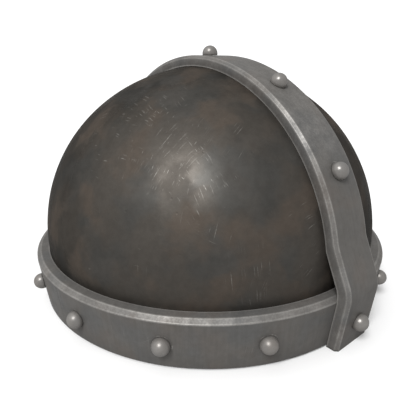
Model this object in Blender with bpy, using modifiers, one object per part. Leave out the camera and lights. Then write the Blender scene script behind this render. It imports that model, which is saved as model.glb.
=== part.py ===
"""Riveted iron helmet: a hollow dome, a brow band round its rim and a crest band over its top.

The crest runs from front (-Y) to back (+Y). Heights are measured from the brow band's lower
edge, and one empty lifts everything so that the crest's feet stand on the ground plane.
"""

import math

import bmesh
import bpy
from mathutils import Matrix, Vector

# General sizes, in metres
FIT_GAP = 0.0003
ROUND_STEPS = 56
DOME_RINGS = 12

# Dome: half an ellipsoid on a short tapered skirt
DOME_RADIUS = 0.1120
DOME_RISE = 0.1073
DOME_WIDEST_HEIGHT = 0.0350
DOME_RIM_RADIUS = 0.1106
DOME_RIM_RECESS = 0.0008
DOME_WALL = 0.0020

# Brow band: a flared ring that leans on the skirt
BROW_HEIGHT = 0.0304
BROW_RIM_THICKNESS = 0.0061
BROW_TOP_THICKNESS = 0.0078
BROW_CHAMFER_WIDTH = 0.0025
BROW_CHAMFER_HEIGHT = 0.0023

# Crest band: a strap over the dome, stepped out over the brow band at each end
CREST_WIDTH = 0.0290
CREST_THICKNESS = 0.0058
CREST_CHAMFER = 0.0017
CREST_STEPS = 36
STEP_START_ABOVE_BROW = 0.0275
STEP_END_ABOVE_BROW = 0.0040
STEP_BEND_RADIUS = 0.0200
STEP_BEND_STEPS = 4
FOOT_THICKNESS = 0.0058
FOOT_DROP = 0.0012

# Rivets: ball heads outside, flat bucked tails inside
BROW_RIVET_PLACES = 14
CREST_RIVET_SPREAD = math.radians(30)
CREST_RIVETS_EACH_SIDE = 2
RIVET_HEIGHT = 0.0140
RIVET_HEAD_RADIUS = 0.0049
RIVET_HEAD_LIFT = 0.0010
RIVET_SHANK_RADIUS = 0.0016
RIVET_TAIL_RADIUS = 0.0034
RIVET_TAIL_HEIGHT = 0.0014
RIVET_TAIL_SEAT = 0.0007
RIVET_STEPS = 12
RIVET_HEAD_STEPS = 5

# Modelling: how far cutters run past what they cut, and the distance for merging points
CUTTER_SPARE = 0.0100
MERGE = 0.00001


def clear_scene():
    """Removes every object and mesh that the file opened with."""
    for obj in list(bpy.data.objects):
        bpy.data.objects.remove(obj, do_unlink=True)
    for collection in list(bpy.data.collections):
        bpy.data.collections.remove(collection)


def new_collection(name):
    """A collection of that name in the scene."""
    collection = bpy.data.collections.new(name)
    bpy.context.scene.collection.children.link(collection)
    return collection


def iron(name, colour, roughness):
    """A metal material with one base colour."""
    material = bpy.data.materials.new(name)
    material.use_nodes = True
    shader = material.node_tree.nodes["Principled BSDF"]
    shader.inputs["Base Color"].default_value = (*colour, 1.0)
    shader.inputs["Metallic"].default_value = 0.8
    shader.inputs["Roughness"].default_value = roughness
    return material


# Outlines, as (distance from the axis, height) pairs


def offset_line(points, distance):
    """The open line moved sideways, to the left of its own direction, with mitred corners."""
    vectors = [Vector(point) for point in points]
    sides = []
    for start, end in zip(vectors, vectors[1:]):
        along = (end - start).normalized()
        sides.append(Vector((-along.y, along.x)))
    moved = [vectors[0] + sides[0] * distance]
    for corner, before, after in zip(vectors[1:-1], sides, sides[1:]):
        middle = (before + after).normalized()
        moved.append(corner + middle * (distance / middle.dot(after)))
    moved.append(vectors[-1] + sides[-1] * distance)
    return [tuple(point) for point in moved]


def rounded_corner(before, corner, after, radius, steps):
    """Points of the arc of that radius that replaces the corner."""
    start_way = (Vector(before) - Vector(corner)).normalized()
    end_way = (Vector(after) - Vector(corner)).normalized()
    half_angle = start_way.angle(end_way) / 2
    reach = radius / math.tan(half_angle)
    start = Vector(corner) + start_way * reach
    middle_way = (start_way + end_way).normalized()
    centre = Vector(corner) + middle_way * (radius / math.sin(half_angle))
    sweep = start_way.angle_signed(end_way)
    turn = math.copysign(math.pi - abs(sweep), sweep)
    arc = []
    for step in range(steps + 1):
        spoke = start - centre
        spoke.rotate(Matrix.Rotation(turn * step / steps, 2))
        arc.append(tuple(centre + spoke))
    return arc


def dome_point(angle, offset):
    """A point of the dome's outer face at that angle from the top, moved out along its normal."""
    normal = Vector((math.sin(angle) / DOME_RADIUS, math.cos(angle) / DOME_RISE)).normalized()
    face = Vector((DOME_RADIUS * math.sin(angle), DOME_WIDEST_HEIGHT + DOME_RISE * math.cos(angle)))
    return tuple(face + normal * offset)


def dome_radius_at(height):
    """The dome's outer radius at that height: the skirt's cone, then the ellipsoid."""
    if height < DOME_WIDEST_HEIGHT:
        share = (height - DOME_RIM_RECESS) / (DOME_WIDEST_HEIGHT - DOME_RIM_RECESS)
        return DOME_RIM_RADIUS + (DOME_RADIUS - DOME_RIM_RADIUS) * share
    share = (height - DOME_WIDEST_HEIGHT) / DOME_RISE
    return DOME_RADIUS * math.sqrt(1 - share * share)


def dome_outline():
    """The dome's outer face, from its top down to its rim."""
    points = [(0.0, DOME_WIDEST_HEIGHT + DOME_RISE)]
    for ring in range(1, DOME_RINGS + 1):
        points.append(dome_point(math.pi / 2 * ring / DOME_RINGS, 0.0))
    points.append((DOME_RIM_RADIUS, DOME_RIM_RECESS))
    return points


def brow_outer_line():
    """The brow band's top face, chamfer and outer face, from the dome down to its lower edge."""
    inner_top = dome_radius_at(BROW_HEIGHT) + FIT_GAP
    outer_top = inner_top + BROW_TOP_THICKNESS
    outer_rim = dome_radius_at(0.0) + FIT_GAP + BROW_RIM_THICKNESS
    return [
        (inner_top, BROW_HEIGHT),
        (outer_top - BROW_CHAMFER_WIDTH, BROW_HEIGHT),
        (outer_top, BROW_HEIGHT - BROW_CHAMFER_HEIGHT),
        (outer_rim, 0.0),
    ]


def brow_face(height, offset):
    """A point of the brow band's outer face at that height, and its normal, both in the outline."""
    top, rim = Vector(brow_outer_line()[2]), Vector(brow_outer_line()[3])
    share = height / top.y
    along = (rim - top).normalized()
    normal = Vector((-along.y, along.x))
    return rim.lerp(top, share) + normal * offset, normal


def under_crest_outline():
    """The dome and the brow band grown by the gap: what the crest band has to clear."""
    points = [(0.0, DOME_WIDEST_HEIGHT + DOME_RISE + FIT_GAP)]
    for ring in range(1, DOME_RINGS + 1):
        points.append(dome_point(math.pi / 2 * ring / DOME_RINGS, FIT_GAP))
    # Between the dome and the brow band's top face the corner is left square
    brow = offset_line(brow_outer_line(), FIT_GAP)
    points.append((dome_radius_at(BROW_HEIGHT) + FIT_GAP, brow[0][1]))
    points.extend(brow[1:3])
    below = -FOOT_DROP - CUTTER_SPARE
    slope = (brow[2][0] - brow[3][0]) / (brow[2][1] - brow[3][1])
    points.append((brow[3][0] + slope * (below - brow[3][1]), below))
    points.append((0.0, below))
    return points


def crest_half_line():
    """One half of the crest band's outer face, from the top of the dome down to the foot's end."""
    start_height = BROW_HEIGHT + STEP_START_ABOVE_BROW
    last_angle = math.acos((start_height - DOME_WIDEST_HEIGHT) / (DOME_RISE + CREST_THICKNESS))
    step_foot, _ = brow_face(BROW_HEIGHT + STEP_END_ABOVE_BROW, FIT_GAP + FOOT_THICKNESS)
    foot_end, _ = brow_face(-FOOT_DROP, FIT_GAP + FOOT_THICKNESS)
    foot_end = (foot_end.x, -FOOT_DROP)
    steps = CREST_STEPS // 2
    arch = [dome_point(last_angle * step / steps, CREST_THICKNESS) for step in range(steps + 1)]
    upper = rounded_corner(arch[-2], arch[-1], step_foot, STEP_BEND_RADIUS, STEP_BEND_STEPS)
    lower = rounded_corner(arch[-1], step_foot, foot_end, STEP_BEND_RADIUS, STEP_BEND_STEPS)
    bend_top = upper[0][1]
    arch = [point for point in arch if point[1] > bend_top + MERGE]
    return arch + upper + lower + [foot_end]


def crest_outline():
    """The crest band's closed side outline as (outer line, inner line), from back to front."""
    half = crest_half_line()
    outer = [(-y, z) for y, z in reversed(half[1:])] + half
    edge_dip = DOME_RADIUS - math.sqrt(DOME_RADIUS**2 - (CREST_WIDTH / 2) ** 2)
    depth = CREST_THICKNESS + edge_dip + 2 * FIT_GAP
    inner = offset_line(outer, -depth)
    # The strap's ends are cut level
    for end, inside in ((0, 1), (-1, -2)):
        y, z = inner[end]
        slope = (y - inner[inside][0]) / (z - inner[inside][1])
        inner[end] = (y + slope * (-FOOT_DROP - z), -FOOT_DROP)
    return outer, inner


# Objects


def add_object(name, mesh, material, collection, parent):
    """An object for the mesh, in the collection and carried by the parent."""
    obj = bpy.data.objects.new(name, mesh)
    obj.data.materials.clear()
    if material is not None:
        obj.data.materials.append(material)
    collection.objects.link(obj)
    obj.parent = parent
    return obj


def line_mesh(name, points, closed):
    """A mesh with the outline as a chain of edges in the XZ plane."""
    mesh = bpy.data.meshes.new(name)
    vertices = [(x, 0.0, z) for x, z in points]
    edges = [(index, index + 1) for index in range(len(points) - 1)]
    if closed:
        edges.append((len(points) - 1, 0))
    mesh.from_pydata(vertices, edges, [])
    return mesh


def turn(obj, steps):
    """Turns the object's outline once about its own Z axis."""
    screw = obj.modifiers.new("turn", "SCREW")
    screw.axis = "Z"
    screw.angle = math.tau
    screw.steps = steps
    screw.render_steps = steps
    screw.use_merge_vertices = True
    screw.merge_threshold = MERGE
    screw.use_smooth_shade = True


def cut(obj, name, cutter=None, cutters=None):
    """Takes one cutter, or a collection of them, out of the object."""
    boolean = obj.modifiers.new(name, "BOOLEAN")
    boolean.operation = "DIFFERENCE"
    boolean.solver = "EXACT"
    if cutters is None:
        boolean.object = cutter
    else:
        boolean.operand_type = "COLLECTION"
        boolean.collection = cutters


def as_cutter(obj):
    """Keeps the object out of the render and shows it as wire."""
    obj.hide_render = True
    obj.display_type = "WIRE"


def make_dome(material, collection, parent):
    """The hollow dome: its outer face turned, with the wall added inside."""
    dome = add_object("dome", line_mesh("dome", dome_outline(), False), material, collection, parent)
    turn(dome, ROUND_STEPS)
    wall = dome.modifiers.new("wall", "SOLIDIFY")
    wall.thickness = DOME_WALL
    wall.offset = -1.0
    wall.use_even_offset = True
    return dome


def make_brow_band(material, collection, parent):
    """The brow band: a closed section turned round the dome's skirt."""
    outer = brow_outer_line()
    inner = []
    for share in (0.0, 1 / 3, 2 / 3):
        height = BROW_HEIGHT * share
        inner.append((dome_radius_at(height) + FIT_GAP, height))
    mesh = line_mesh("brow_band", outer + inner, True)
    band = add_object("brow_band", mesh, material, collection, parent)
    turn(band, ROUND_STEPS)
    return band


def crest_mesh():
    """The strap's side outline pushed across its width, with its two outer edges chamfered."""
    outer, inner = crest_outline()
    bm = bmesh.new()
    half = CREST_WIDTH / 2
    ring = [bm.verts.new((-half, y, z)) for y, z in outer + inner[::-1]]
    side = bm.faces.new(ring)
    pushed = bmesh.ops.extrude_face_region(bm, geom=[side])
    moved = [item for item in pushed["geom"] if isinstance(item, bmesh.types.BMVert)]
    bmesh.ops.translate(bm, verts=moved, vec=(CREST_WIDTH, 0.0, 0.0))
    bmesh.ops.recalc_face_normals(bm, faces=bm.faces)
    places = {(round(y, 6), round(z, 6)) for y, z in outer}
    chamfered = []
    for edge in bm.edges:
        across = abs(edge.verts[0].co.x - edge.verts[1].co.x) > half
        on_outer = all((round(v.co.y, 6), round(v.co.z, 6)) in places for v in edge.verts)
        if on_outer and not across:
            chamfered.append(edge)
    bmesh.ops.bevel(bm, geom=chamfered, offset=CREST_CHAMFER, segments=1, affect="EDGES")
    mesh = bpy.data.meshes.new("crest_band")
    bm.to_mesh(mesh)
    bm.free()
    return mesh


def make_crest_band(material, collection, cutters, parent):
    """The crest band, with its underside fitted to the dome and the brow band."""
    crest = add_object("crest_band", crest_mesh(), material, collection, parent)
    fit_mesh = line_mesh("under_crest", under_crest_outline(), False)
    under_crest = add_object("under_crest", fit_mesh, None, cutters, parent)
    turn(under_crest, ROUND_STEPS)
    as_cutter(under_crest)
    cut(crest, "fit", cutter=under_crest)
    return crest


def rivet_outline(stack):
    """A rivet for plates of that total thickness: head above its seat, shank, bucked tail."""
    centre = RIVET_HEAD_LIFT
    last = math.pi - math.acos((centre - FIT_GAP) / RIVET_HEAD_RADIUS)
    points = [(0.0, centre + RIVET_HEAD_RADIUS)]
    for step in range(1, RIVET_HEAD_STEPS + 1):
        angle = last * step / RIVET_HEAD_STEPS
        points.append((RIVET_HEAD_RADIUS * math.sin(angle), centre + RIVET_HEAD_RADIUS * math.cos(angle)))
    seat = -stack - RIVET_TAIL_SEAT
    points.append((RIVET_SHANK_RADIUS, FIT_GAP))
    points.append((RIVET_SHANK_RADIUS, seat))
    points.append((RIVET_TAIL_RADIUS, seat))
    points.append((RIVET_TAIL_RADIUS, seat - RIVET_TAIL_HEIGHT))
    points.append((0.0, seat - RIVET_TAIL_HEIGHT))
    return points


def place_on_face(obj, azimuth, face, normal):
    """Stands the object's Z axis on the face point; the azimuth is counted from the front, -Y."""
    around = Vector((math.sin(azimuth), -math.cos(azimuth), 0.0))
    obj.location = around * face.x + Vector((0.0, 0.0, face.y))
    outward = around * normal.x + Vector((0.0, 0.0, normal.y))
    obj.rotation_mode = "QUATERNION"
    obj.rotation_quaternion = outward.to_track_quat("Z", "Y")


def hole_mesh(stack):
    """A round cutter for the shank, long enough for the stack of plates."""
    bm = bmesh.new()
    radius = RIVET_SHANK_RADIUS + FIT_GAP
    depth = stack + 2 * CUTTER_SPARE
    bmesh.ops.create_cone(
        bm, cap_ends=True, segments=RIVET_STEPS, radius1=radius, radius2=radius, depth=depth
    )
    bmesh.ops.translate(bm, verts=bm.verts, vec=(0.0, 0.0, -stack / 2))
    mesh = bpy.data.meshes.new("rivet_hole")
    bm.to_mesh(mesh)
    bm.free()
    return mesh


def make_rivets(name, places, stack, material, collection, holes, parent):
    """A row of like rivets and their hole cutters at (azimuth, face point, normal) places."""
    shape = line_mesh(name, rivet_outline(stack), False)
    bore = hole_mesh(stack)
    for index, (azimuth, face, normal) in enumerate(places, start=1):
        rivet = add_object(f"{name}_{index:02d}", shape, material, collection, parent)
        turn(rivet, RIVET_STEPS)
        place_on_face(rivet, azimuth, face, normal)
        hole = add_object(f"{name}_hole_{index:02d}", bore, None, holes, parent)
        place_on_face(hole, azimuth, face, normal)
        as_cutter(hole)


def brow_rivet_places(offset, indices):
    """Places on the brow band's outer face, or on a foot that lies on it."""
    face, normal = brow_face(RIVET_HEIGHT, offset)
    return [(math.tau * index / BROW_RIVET_PLACES, face, normal) for index in indices]


def crest_rivet_places():
    """Places along the crest's arch, from front to back."""
    places = []
    for index in range(CREST_RIVETS_EACH_SIDE, -CREST_RIVETS_EACH_SIDE - 1, -1):
        azimuth = 0.0 if index >= 0 else math.pi
        angle = CREST_RIVET_SPREAD * abs(index)
        face = Vector(dome_point(angle, CREST_THICKNESS))
        normal = (face - Vector(dome_point(angle, 0.0))).normalized()
        places.append((azimuth, face, normal))
    return places


def brow_stack():
    """Thickness through the brow band and the dome at the rivets' height."""
    face, normal = brow_face(RIVET_HEIGHT, 0.0)
    return (face.x - dome_radius_at(RIVET_HEIGHT)) / normal.x + DOME_WALL


def main():
    """Builds the helmet."""
    clear_scene()
    pieces = new_collection("norse_iron_helmet")
    cutters = new_collection("cutters")
    holes = bpy.data.collections.new("rivet_holes")
    cutters.children.link(holes)

    base = bpy.data.objects.new("helmet_base", None)
    base.location = (0.0, 0.0, FOOT_DROP)
    pieces.objects.link(base)

    dark_iron = iron("dark_iron", (0.065, 0.057, 0.050), 0.55)
    band_iron = iron("band_iron", (0.130, 0.125, 0.120), 0.50)
    rivet_iron = iron("rivet_iron", (0.210, 0.200, 0.190), 0.40)

    dome = make_dome(dark_iron, pieces, base)
    brow_band = make_brow_band(band_iron, pieces, base)
    crest_band = make_crest_band(band_iron, pieces, cutters, base)

    opposite = BROW_RIVET_PLACES // 2
    open_places = [index for index in range(BROW_RIVET_PLACES) if index % opposite]
    foot_offset = FIT_GAP + FOOT_THICKNESS
    crest_stack = CREST_THICKNESS + DOME_WALL
    rows = (
        ("rivet_brow", brow_rivet_places(0.0, open_places), brow_stack()),
        ("rivet_foot", brow_rivet_places(foot_offset, (0, opposite)), brow_stack() + foot_offset),
        ("rivet_crest", crest_rivet_places(), crest_stack),
    )
    for name, places, stack in rows:
        make_rivets(name, places, stack, rivet_iron, pieces, holes, base)

    for piece in (dome, brow_band, crest_band):
        cut(piece, "rivet_holes", cutters=holes)


main()
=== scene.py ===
"""Riveted iron helmet, with its forged surfaces, finishes, light and camera.

The dome, the brow band, the crest band and their rivets are worked out as smooth surfaces over
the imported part, in the same places and sizes. Sizes are in metres. Heights are measured from the
brow band's lower edge, and LIFT raises that edge above the floor.
"""

import logging
import math
from dataclasses import dataclass, field
from enum import Enum
from typing import Optional, Sequence, Union

import bpy
import numpy as np
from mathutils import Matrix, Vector


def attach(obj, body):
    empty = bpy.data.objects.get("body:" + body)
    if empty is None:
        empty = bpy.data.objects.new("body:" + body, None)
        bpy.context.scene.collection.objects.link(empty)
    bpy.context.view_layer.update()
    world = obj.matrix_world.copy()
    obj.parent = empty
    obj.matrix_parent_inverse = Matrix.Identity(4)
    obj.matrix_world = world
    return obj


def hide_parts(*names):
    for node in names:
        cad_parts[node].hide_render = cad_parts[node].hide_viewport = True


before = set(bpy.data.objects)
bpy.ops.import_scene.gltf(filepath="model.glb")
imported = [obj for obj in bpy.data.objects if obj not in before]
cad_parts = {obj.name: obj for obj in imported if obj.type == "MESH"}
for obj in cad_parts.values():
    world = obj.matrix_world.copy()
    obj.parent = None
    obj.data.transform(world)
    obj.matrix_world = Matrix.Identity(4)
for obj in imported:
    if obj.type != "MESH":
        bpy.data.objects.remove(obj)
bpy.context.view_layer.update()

Array = np.ndarray
Mesh = bpy.types.Mesh
Material = bpy.types.Material
Tree = bpy.types.NodeTree
Node = bpy.types.Node
Colour = tuple[float, float, float]
Socket = bpy.types.NodeSocket
Source = Union[Socket, float, tuple, Vector]
Sources = dict[Union[int, str], Source]
Pair = tuple[float, float]

LOG = logging.getLogger("helmet")
LIFT = 0.0012
FIT_GAP = 0.0003
TOUCH_GAP = 0.00005
TINY = 1e-9
BROW_HEIGHT = 0.0304
CREST_WIDTH = 0.0290
POINT_SPACING = 0.0016
BODY = "root"
# Name of the per-point value for worn metal, which also carries painted highlight lines and painted
# light on shaded faces.
WEAR_AND_SHEEN = "wear_and_sheen"
# Name of the per-point value of painted shade: darkness painted into the colour where parts meet,
# low down and inside.
PAINTED_SHADE = "painted_shade"
SURFACE = "surface"
NEAR_RIVET = "near_rivet"


# Surfaces


class Ends(Enum):
    """How the first and the last row of a grid are closed."""

    JOINED = "the last row meets the first"
    POLES = "each of the two rows is one point"
    CAPS = "each of the two rows is filled by one face"


@dataclass(frozen=True)
class Corner:
    """A corner of an outline.

    Attributes:
        across: place along the outline's first axis.
        up: place along its second axis.
        soft: how far from the corner its rounding starts.
        wear_and_sheen: how bright the edge is, 0 to 1, from worn metal and at some corners a
            painted highlight line.
        run_wear_and_sheen: the same on the straight run to the next corner; on some faces it paints
            light onto shade.
    """

    across: float
    up: float
    soft: float
    wear_and_sheen: float
    run_wear_and_sheen: float


def unit(vector: Array) -> Array:
    """The vectors of an array, each with length one."""
    return vector / np.linalg.norm(vector, axis=-1, keepdims=True)


def smooth_share(values: Array, low: float, high: float) -> Array:
    """Rises from 0 at low to 1 at high along 3t^2 - 2t^3."""
    share = np.clip((values - low) / (high - low), 0.0, 1.0)
    return share * share * (3.0 - 2.0 * share)


def rounded_outline(
    corners: Sequence[Corner], fade: float = 0.0006, arc_steps: int = 4
) -> tuple[Array, Array]:
    """Lays points along a closed outline with rounded corners.

    A corner becomes a parabola: at share t the place is (1-t)^2 of its start, 2t(1-t) of the corner
    and t^2 of its end. A straight run is split into even steps, with closer points near its ends.
    There the value for worn metal and painted highlight falls from the corner's as exp(-distance /
    fade).

    Args:
        corners: the outline's corners in order.
        fade: how fast that value falls away from a corner.
        arc_steps: steps along each rounding.

    Returns:
        The points, shaped (count, 2), and the value for worn metal and painted highlight at each of
        them.
    """
    places = np.array([(corner.across, corner.up) for corner in corners])
    ways = unit(np.roll(places, -1, axis=0) - places)
    softs = np.array([corner.soft for corner in corners])[:, None]
    starts = places - np.roll(ways, 1, axis=0) * softs
    ends = places + ways * softs
    share = np.linspace(0.0, 1.0, arc_steps + 1)[:, None]
    closer = fade * np.array([0.6, 1.4])
    points, wear_and_sheen_parts = [], []
    for number, corner in enumerate(corners):
        following = (number + 1) % len(corners)
        arc = (1 - share) ** 2 * starts[number] + 2 * share * (1 - share) * places[number]
        arc = arc + share**2 * ends[number]
        length = float(np.linalg.norm(starts[following] - ends[number]))
        close = closer * min(1.0, 0.3 * length / closer[-1])
        rest = min(3.0 * fade, 0.45 * length)
        steps = max(int(np.ceil(length / POINT_SPACING)), 1)
        middle = np.linspace(rest, length - rest, steps + 1)
        walked = np.concatenate([close, middle, length - close[::-1]])
        along = walked[:, None] / length
        falls = corner.wear_and_sheen * np.exp(-walked / fade)
        rises = corners[following].wear_and_sheen * np.exp(-(length - walked) / fade)
        points += [arc, ends[number] * (1 - along) + starts[following] * along]
        wear_and_sheen_parts += [np.full(len(arc), corner.wear_and_sheen), np.maximum(corner.run_wear_and_sheen, falls + rises)]
    return np.concatenate(points), np.concatenate(wear_and_sheen_parts)


def swaying(along: Array, waves: Sequence[Pair]) -> Array:
    """A sway round 0.5, from 0 to 1: a half plus a sixth of the sum of three sines."""
    return 0.5 + sum(np.sin(often * along + phase) for often, phase in waves) / 6


def outline_distance(points: Array) -> Array:
    """The distance along a line of points, from its first point to each of them."""
    steps = np.linalg.norm(np.diff(points, axis=0), axis=1)
    return np.concatenate([[0.0], np.cumsum(steps)])


def ring_angles(columns: int, closed: bool = False) -> Array:
    """Azimuths round a ring, with the first one again at the end if it is closed."""
    return math.tau * np.arange(columns + closed) / columns


def turned(outline: Array, columns: int) -> Array:
    """Turns an outline once about the Z axis.

    At azimuth a, counted from the front, a point at radius r lies at (r sin a, -r cos a).

    Args:
        outline: (radius, height) points, shaped (rows, 2).
        columns: places round the axis.

    Returns:
        Points shaped (rows, columns, 3).
    """
    azimuth = ring_angles(columns)
    radius, height = outline[:, :1], outline[:, 1:]
    level = np.broadcast_to(height, (len(outline), columns))
    return np.stack([radius * np.sin(azimuth), -radius * np.cos(azimuth), level], axis=-1)


def face_corners(flat: Array) -> Array:
    """The flat coordinates of each face's four corners, from a grid whose last column closes it."""
    return np.stack([flat[:-1, :-1], flat[:-1, 1:], flat[1:, 1:], flat[1:, :-1]], axis=2)


def closed_mesh(
    name: str, grid: Array, ends: Ends, values: dict[str, Array], maps: dict[str, Array]
) -> Mesh:
    """Makes a closed mesh of a grid whose columns go round in a ring.

    The faces are turned so that the volume they enclose, the sum of a.(b x c) / 6 over their
    triangles, is positive.

    Args:
        name: the mesh's name.
        grid: points shaped (rows, columns, 3).
        ends: how the first and last rows are closed.
        values: a value for each point by attribute name, spread over (rows, columns).
        maps: flat corner coordinates by map name, shaped (bands, columns, 4, 2).

    Returns:
        The mesh.
    """
    kept = np.ones(grid.shape[:2], bool)
    if ends is Ends.POLES:
        kept[[0, -1], 1:] = False
    index = (np.cumsum(kept) - 1).reshape(kept.shape)
    if ends is Ends.POLES:
        index[-1] = index[-1, 0]
    points = grid[kept]
    upper = index if ends is Ends.JOINED else index[:-1]
    lower = np.roll(index, -1, axis=0) if ends is Ends.JOINED else index[1:]
    quads = np.stack([upper, np.roll(upper, -1, 1), np.roll(lower, -1, 1), lower], axis=-1)
    a, b, c, d = (points[quads[..., corner]] for corner in range(4))
    volume = (a * np.cross(b, c)).sum() + (a * np.cross(c, d)).sum()
    way = 1 if volume > 0 else -1

    def laid_out(corners: Array) -> list[Array]:
        """The faces' corners in the mesh's order: quads, then the triangles at the poles."""
        if ends is not Ends.POLES:
            return [corners.reshape(-1, *corners.shape[2:])[:, ::way]]
        middle = corners[1:-1].reshape(-1, *corners.shape[2:])
        return [middle[:, ::way], corners[0][:, [0, 2, 3]][:, ::way], corners[-1][:, :3][:, ::way]]

    faces = [face for part in laid_out(quads) for face in part.tolist()]
    flat = {key: [part.reshape(-1, 2) for part in laid_out(each)] for key, each in maps.items()}
    if ends is Ends.CAPS:
        faces += [index[0][:: -way].tolist(), index[-1][::way].tolist()]
        for parts in flat.values():
            parts.append(np.zeros((2 * index.shape[1], 2)))
    mesh = bpy.data.meshes.new(name)
    mesh.from_pydata(points.tolist(), [], faces)
    for key, each in values.items():
        layer = mesh.attributes.new(key, "FLOAT", "POINT")
        whole = np.broadcast_to(each, kept.shape)
        layer.data.foreach_set("value", whole[kept].astype(np.float32))
    for key, parts in flat.items():
        layer = mesh.uv_layers.new(name=key)
        layer.data.foreach_set("uv", np.concatenate(parts).astype(np.float32).ravel())
    smooth = np.ones(len(mesh.polygons), bool)
    if ends is Ends.CAPS:
        smooth[-2:] = False
    mesh.polygons.foreach_set("use_smooth", smooth)
    mesh.update()
    return mesh


def place_piece(mesh: Mesh, material: Material, node: str) -> None:
    """Puts a finished piece in the scene in place of its plain solid, under its mesh's name.

    Args:
        mesh: its mesh, with its place in its points.
        material: its finish.
        node: the solid that it stands for.
    """
    mesh.materials.append(material)
    piece = bpy.data.objects.new(mesh.name, mesh)
    bpy.context.scene.collection.objects.link(piece)
    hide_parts(node)
    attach(piece, BODY)
    triangles = sum(len(face.vertices) - 2 for face in mesh.polygons)
    LOG.info("%s: %d triangles, for %s", mesh.name, triangles, node)


# Effects that several finishes share


class Graph:
    """Adds nodes to one tree and links them."""

    def __init__(self, tree: Tree) -> None:
        """Keeps the tree."""
        self.tree = tree

    def feed(self, socket: Socket, source: Source) -> None:
        """Links a socket to another node's output or sets it to a constant.

        Args:
            socket: the socket that takes the value.
            source: the output or the constant; a colour gets its fourth number here.
        """
        if isinstance(source, Socket):
            self.tree.links.new(source, socket)
        elif isinstance(source, tuple) and len(source) < len(socket.default_value):
            socket.default_value = (*source, 1.0)
        else:
            socket.default_value = source

    def node(self, kind: str, sources: Sources, **settings: object) -> Node:
        """Adds a node.

        Args:
            kind: Blender's name for the kind of node.
            sources: what feeds its inputs, by number or name.
            **settings: the node's own settings.

        Returns:
            The node.
        """
        node = self.tree.nodes.new(kind)
        for name, value in settings.items():
            setattr(node, name, value)
        for key, source in sources.items():
            self.feed(node.inputs[key], source)
        return node

    def math(self, operation: str, *sources: Source, clamp: bool = False) -> Socket:
        """Does one sum on numbers, and keeps the result from 0 to 1 if it is clamped."""
        given = dict(enumerate(sources))
        return self.node("ShaderNodeMath", given, operation=operation, use_clamp=clamp).outputs[0]

    def vector(self, operation: str, *sources: Source, result: str = "Vector") -> Socket:
        """Does one sum on vectors, whose result is a vector or a plain value."""
        given = dict(enumerate(sources))
        return self.node("ShaderNodeVectorMath", given, operation=operation).outputs[result]

    def rise(
        self, value: Source, low: Source, high: Source, least: float = 0.0, most: float = 1.0
    ) -> Socket:
        """Maps a value smoothly from low..high to least..most, and holds it there outside."""
        given = dict(enumerate((value, low, high, least, most)))
        return self.node("ShaderNodeMapRange", given, interpolation_type="SMOOTHSTEP").outputs[0]

    def mix(self, share: Source, first: Source, second: Source) -> Socket:
        """Mixes two colours: a share of 0 gives the first and 1 the second."""
        given = {0: share, 6: first, 7: second}
        return self.node("ShaderNodeMix", given, data_type="RGBA").outputs[2]

    def noise(
        self, place: Source, scale: Source, detail: float = 3.0, roughness: float = 0.55
    ) -> Socket:
        """Clouds about 0.5, so many to a metre, with finer layers of some strength added."""
        given = {"Vector": place, "Scale": scale, "Detail": detail, "Roughness": roughness}
        return self.node("ShaderNodeTexNoise", given, noise_dimensions="3D").outputs["Fac"]

    def cells(self, place: Source, scale: float, dimensions: str) -> tuple[Socket, ...]:
        """Scattered points.

        Args:
            place: where they are read.
            scale: points to a metre.
            dimensions: Blender's name for how many dimensions they fill.

        Returns:
            The distance to the nearest point, and three random numbers of that point's own.
        """
        settings = {"voronoi_dimensions": dimensions, "feature": "F1"}
        points = self.node("ShaderNodeTexVoronoi", {"Vector": place, "Scale": scale}, **settings)
        random = self.node("ShaderNodeSeparateColor", {0: points.outputs["Color"]})
        return points.outputs["Distance"], *random.outputs

    def squeezed(self, place: Source, first: Source, second: Source) -> Socket:
        """Coordinates counted in cells of the two lengths given."""
        counts = {0: self.math("DIVIDE", 1.0, first), 1: self.math("DIVIDE", 1.0, second)}
        return self.vector("MULTIPLY", place, self.node("ShaderNodeCombineXYZ", counts).outputs[0])

    def group(self, tree: Tree, **sources: Source) -> Node:
        """Places a shared effect; an underscore stands for a space in an input's name."""
        given = {key.replace("_", " "): source for key, source in sources.items()}
        return self.node("ShaderNodeGroup", given, node_tree=tree)


class EffectTree(Graph):
    """A node group with named inputs and outputs."""

    def __init__(self, name: str, **inputs: Optional[float]) -> None:
        """Starts the group.

        Args:
            name: the group's name.
            **inputs: its inputs and their defaults; None stands for a vector.
        """
        super().__init__(bpy.data.node_groups.new(name, "ShaderNodeTree"))
        for key, default in inputs.items():
            kind = "NodeSocketVector" if default is None else "NodeSocketFloat"
            label = key.replace("_", " ")
            socket = self.tree.interface.new_socket(label, in_out="INPUT", socket_type=kind)
            if default is not None:
                socket.default_value = default
        self.given = self.node("NodeGroupInput", {}).outputs[: len(inputs)]

    def give(self, **values: Source) -> Tree:
        """Ends the group.

        Args:
            **values: its outputs and what feeds them.

        Returns:
            The node group.
        """
        for key in values:
            self.tree.interface.new_socket(key, in_out="OUTPUT", socket_type="NodeSocketFloat")
        self.node("NodeGroupOutput", values)
        return self.tree


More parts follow.
